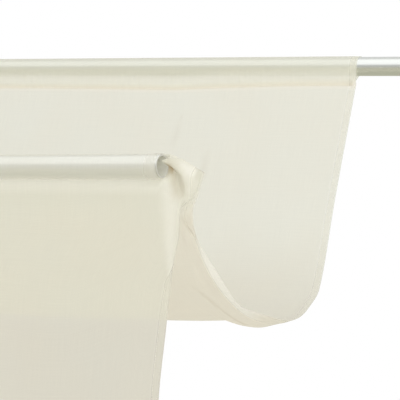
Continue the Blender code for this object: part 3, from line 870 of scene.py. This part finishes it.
# The strip that holds the front tube
casingSettings = {
    "left": -0.486, "right": 0.4695,      # metres
    "start": 61.0, "end": 266.0,          # degrees round the tube
    "seamAhead": 0.5, "seamDrop": 14.2,   # mm from the tube's axis
    "endHem": 15.0, "hemGap": 0.25,       # mm
    "stitches": (2.6, 13.4),              # mm from the hemmed end
    "hemTone": 0.15,                      # how much whiter the hem looks
    "puckerHeight": 0.42, "puckerFree": (10.0, 35.0),  # mm; they start this far from the end
    "puckerRaised": 0.45, "puckerRise": (0.25, 0.85),  # shares; the second from the top down
    "seamPinch": 0.7, "pinchReach": 2.5, "patchWave": (61.0, 1.0),  # share; mm; mm to the radian, start
    "columns": 330, "arcSteps": 40, "dropSteps": 6,
}
# With the columns that ripples names
puckerWaves = (
    (0.5, 5.3, 0.05, 1.6, 33.0, 0.0),
    (0.4, 3.1, -0.08, 1.1, 21.0, 0.0),
    (0.3, 11.7, 0.0, 0.0, 1.0, 0.4),
)


def makeCasing(material):
    s = casingSettings
    xs = np.linspace(s["right"], s["left"], s["columns"] + 1)
    radius = panelSettings["clothOnTube"] * mm
    angles = np.radians(np.linspace(s["start"], s["end"], s["arcSteps"] + 1))
    columns = []
    for x in xs:
        centre = np.array((x, -tubeSettings["frontAhead"], frontAxisHeight(x)))
        run = [centre + radius * np.array((0.0, math.cos(angle), math.sin(angle))) for angle in angles]
        foot = centre + np.array((0.0, -s["seamAhead"], -s["seamDrop"])) * mm
        top = run[-1]
        run += [top + (foot - top) * step / s["dropSteps"] for step in range(1, s["dropSteps"] + 1)]
        columns.append(run)
    grid = np.array(columns)
    flat = np.repeat((xs[0] - xs)[:, None], grid.shape[1], axis=1)
    down = walked(grid)
    normals = gridNormals(grid)
    u, v, length = flat / mm, down / mm, down[0, -1] / mm
    # Slack in the strip: short upright puckers that rise from the lower seam and die at the top
    low = towards(v, *(share * length for share in s["puckerRise"]))
    low = low * (1.0 - s["seamPinch"] * bell(v - length, s["pinchReach"]))
    reach, start = s["patchWave"]
    patch = 0.5 + 0.5 * np.sin(u / reach + start) ** 2
    wave = np.maximum(ripples(u, v, u, puckerWaves) + s["puckerRaised"], 0.0)
    lift = s["puckerHeight"] * wave * patch * low * towards(u, *s["puckerFree"]) * mm
    grid = grid + normals * lift[..., None]
    normals = gridNormals(grid)
    cloth = (grid, flat, down, normals, *(np.zeros_like(flat) for _ in range(3)))
    stitchLines = [readAt(grid, flat, place * mm) for place in s["stitches"]] + [grid[:, 1], grid[:, -2]]
    hemmed = turnHem(cloth, flat, s["endHem"] * mm, -s["hemGap"] * mm)
    none = np.zeros_like(hemmed[4])
    mesh = clothMesh("frontCasingCloth", hemmed, hemShare(hemmed[4]) * s["hemTone"], none, none)
    return newObject("frontCasingCloth", mesh, material), stitchLines, (s["right"] - s["left"], length * mm)


def makeTube(name, finish, left, right, place, tilt):
    # Turned round its axis: outer wall, eased rim, bore, eased rim
    s = tubeSettings
    outer, inner, rim = s["radius"] * mm, (s["radius"] - s["wall"]) * mm, s["rim"] * mm
    half, middle = (right - left) / math.cos(tilt) / 2, (left + right) / 2
    arc = [math.radians(90 * i / s["rimSteps"]) for i in range(s["rimSteps"] + 1)]
    end = [(half - rim + rim * math.sin(a), outer - rim + rim * math.cos(a)) for a in arc]
    end += [(half - rim + rim * math.cos(a), inner + rim - rim * math.sin(a)) for a in arc]
    profile = end + [(half * share, inner) for share in s["rings"]]
    profile += [(-a, r) for a, r in reversed(end)] + [(-half * share, outer) for share in s["rings"]]
    along = Vector((math.cos(tilt), 0.0, math.sin(tilt)))
    side = Vector((0.0, 1.0, 0.0))
    up = side.cross(along)
    centre = Vector(place) + Vector((middle, 0.0, middle * math.tan(tilt)))
    verts, faces, count = [], [], len(profile)
    for i in range(s["sides"]):
        turn = math.tau * i / s["sides"]
        out = side * math.cos(turn) + up * math.sin(turn)
        verts += [tuple(centre + along * a + out * r) for a, r in profile]
        here, there = i * count, (i + 1) % s["sides"] * count
        for k in range(count):
            m = (k + 1) % count
            faces.append((here + k, here + m, there + m, there + k))
    mesh = bpy.data.meshes.new(name)
    mesh.from_pydata(verts, [], faces)
    mesh.shade_smooth()
    mesh.set_sharp_from_angle(angle=math.radians(s["sharpFrom"]))
    tube = newObject(name, mesh, makeAluminium(finish, centre, tilt, half))
    # Soft daylight from all sides leaves hardly a shadow of the tubes on the cloth round them
    tube.visible_shadow = False
    return tube


# Stitches
stitchSettings = {
    "pitch": 2.9, "length": 2.3, "radius": 0.085,       # mm
    "drawInFrom": 0.15, "endWidth": 0.45,               # shares of the length and of the radius
    "sides": 6, "parts": 3, "shortest": 0.86, "longest": 1.08, "seed": 7,
    "threadShade": "ece8d8", "threadLight": "fdfbf2",
    "roughness": 0.6, "sheen": 0.2,
    "twistSize": 0.5556, "twistRelief": 0.3, "twistDepth": 0.1,  # mm, share, mm
}


def makeThread(name):
    # Spun polyester sewing thread: a little brighter and denser than the cloth
    s = stitchSettings
    material, add = newMaterial(name)
    place = add("TexCoord")
    twist = add("TexNoise", {"Vector": place.outputs["Object"], "Scale": 1 / (s["twistSize"] * mm)})
    tone = add("Mix", {0: twist, 6: s["threadShade"], 7: s["threadLight"]}, data_type="RGBA")
    bump = add("Bump", {"Height": twist, "Strength": s["twistRelief"], "Distance": s["twistDepth"] * mm})
    thread = add("BsdfPrincipled", {
        "Base Color": tone, "Roughness": s["roughness"], "Normal": bump, "Sheen Weight": s["sheen"],
    })
    add("OutputMaterial", {"Surface": thread})
    return material


def stitchTree():
    # Thread stitches laid end to end along every line of the mesh
    s = stitchSettings
    tree = bpy.data.node_groups.new("stitchRow", "GeometryNodeTree")
    add, face = partial(addNode, tree), tree.interface
    face.new_socket("Geometry", in_out="OUTPUT", socket_type="NodeSocketGeometry")
    sockets = {"Geometry": "Geometry", "Pitch": "Float", "Length": "Float", "Radius": "Float",
               "Seed": "Int", "Thread": "Material"}
    for name, kind in sockets.items():
        face.new_socket(name, in_out="INPUT", socket_type="NodeSocket" + kind)
    given = add("NodeGroupInput").outputs
    curve = add("GeometryNodeMeshToCurve", {"Mesh": given["Geometry"]})
    even = add("GeometryNodeResampleCurve", {"Curve": curve, "Length": given["Pitch"]}, mode="LENGTH")
    capsule = add("GeometryNodeMeshCylinder", {
        "Vertices": s["sides"], "Side Segments": s["parts"],
        "Radius": given["Radius"], "Depth": given["Length"],
    })
    # The ends draw in where the needle takes the thread through
    place = add("GeometryNodeInputPosition")
    split = add("SeparateXYZ", {0: place})
    reach = add("Math", {0: split.outputs["Z"]}, operation="ABSOLUTE")
    share = add("Math", {0: reach, 1: given["Length"]}, operation="DIVIDE")
    thin = add("MapRange", {
        "Value": share, "From Min": s["drawInFrom"], "From Max": 0.5, "To Min": 1.0, "To Max": s["endWidth"],
    })
    narrow = add("CombineXYZ", {0: thin, 1: thin, 2: 1.0})
    drawn = add("VectorMath", {0: place, 1: narrow}, operation="MULTIPLY")
    stitch = add("GeometryNodeSetPosition", {"Geometry": capsule, "Position": drawn})
    tangent = add("GeometryNodeInputTangent")
    align = add("FunctionNodeAlignRotationToVector", {"Vector": tangent}, axis="Z")
    size = add("FunctionNodeRandomValue", {2: s["shortest"], 3: s["longest"], "Seed": given["Seed"]},
               data_type="FLOAT")
    laid = add("GeometryNodeInstanceOnPoints", {
        "Points": even, "Instance": stitch, "Rotation": align, "Scale": size,
    })
    real = add("GeometryNodeRealizeInstances", {"Geometry": laid})
    finish = add("GeometryNodeSetMaterial", {"Geometry": real, "Material": given["Thread"]})
    add("NodeGroupOutput", {"Geometry": finish})
    return tree


def makeStitches(name, lines, tree, material):
    s = stitchSettings
    verts, edges = [], []
    for line in lines:
        edges += [(len(verts) + i, len(verts) + i + 1) for i in range(len(line) - 1)]
        verts += line.tolist()
    mesh = bpy.data.meshes.new(name + "Lines")
    mesh.from_pydata(verts, edges, [])
    guide = newObject(name + "Lines", mesh)
    rows = guide.modifiers.new("stitch rows", "NODES")
    rows.node_group = tree
    values = {"Pitch": s["pitch"] * mm, "Length": s["length"] * mm, "Radius": s["radius"] * mm,
              "Seed": s["seed"], "Thread": material}
    for socket in tree.interface.items_tree:
        if socket.in_out == "INPUT" and socket.name in values:
            rows[socket.identifier] = values[socket.name]
    guide.update_tag()
    evaluated = guide.evaluated_get(bpy.context.evaluated_depsgraph_get())
    plain = bpy.data.meshes.new_from_object(evaluated)
    bpy.data.objects.remove(guide)
    plain.shade_smooth()
    plain.name = name
    return newObject(name, plain)


# Make everything
addCamera()
addWorld()
addLamps()
addFloor()
print("studio and camera ready")

voile = makeVoile("creamVoile", voileSettings["cover"], voileSettings["colour"])
casingVoile = makeVoile("creamVoileStretched", voileSettings["casingCover"], voileSettings["casingColour"])
panel, panelLines, panelLength = makePanel(voile)
print("panel hung:", len(panel.data.polygons), "faces, length", round(panelLength, 3))
casing, casingLines, casingFlat = makeCasing(casingVoile)
print("front casing sewn:", len(casing.data.polygons), "faces")

tube = tubeSettings
backRod = makeTube("backRod", "satinAluminiumBack", -tube["backHalfLength"], tube["backHalfLength"],
                   (0.0, 0.0, 0.0), 0.0)
frontRod = makeTube("frontRod", "satinAluminiumFront", tube["frontLeft"], tube["frontRight"],
                    (0.0, -tube["frontAhead"], -tube["frontDrop"]), math.radians(tube["frontTilt"]))
print("tubes drawn")

rows, thread = stitchTree(), makeThread("polyesterThread")
panelStitches = makeStitches("panelStitches", panelLines, rows, thread)
casingStitches = makeStitches("casingStitches", casingLines, rows, thread)
print("stitches laid:", len(panelStitches.data.polygons) + len(casingStitches.data.polygons), "faces")

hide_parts("panel")
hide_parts("front_casing")
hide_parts("back_tube")
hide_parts("front_tube")
for piece in (panel, casing, backRod, frontRod, panelStitches, casingStitches):
    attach(piece, "root")
